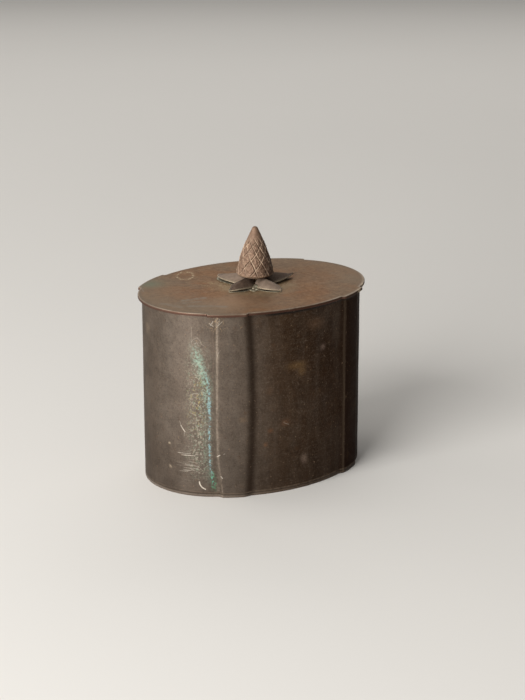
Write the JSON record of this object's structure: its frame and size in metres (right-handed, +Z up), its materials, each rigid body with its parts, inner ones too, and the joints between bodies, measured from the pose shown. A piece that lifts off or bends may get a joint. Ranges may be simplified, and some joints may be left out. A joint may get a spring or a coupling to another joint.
{
  "type": "sugar bowl",
  "caption": "Oval sugar bowl in tarnished plated sheet metal, with lobed straight sides and a flat overhanging lift-off lid topped by a pine cone on a leaf rosette.",
  "frame": {"origin": "middle of the flat base, on the surface the bowl stands on", "axes": "+Z up; X along the oval's long axis; Y along its short axis, with -Y the front"},
  "size_m": [0.129, 0.096, 0.1338],
  "materials": {
    "wall_sheet": "dull grey-brown tarnish over worn plating, with green verdigris",
    "base_sheet": "dull dark tarnish",
    "lid_sheet": "dull brown tarnish with a worn reddish edge",
    "collar_sheet": "dull, less tarnished",
    "calyx_sheet": "dull tarnish, soldered at the middle",
    "cast_cone": "dull brown casting with incised lines",
    "fixing_metal": "dull yellow-brown"
  },
  "bodies": {
    "bowl": {"body_wall": "wall_sheet", "base_plate": "base_sheet"},
    "lid": {"lid_plate": "lid_sheet", "lid_collar": "collar_sheet", "leaf_calyx": "calyx_sheet", "pine_cone": "cast_cone", "finial_stud": "fixing_metal", "stud_washer": "fixing_metal", "stud_nut": "fixing_metal"}
  },
  "joints": [
    {"name": "lid_lift", "type": "slide", "parent": "bowl", "child": "lid", "axis": [0, 0, 1], "range_m": [0, 0.06]}
  ]
}
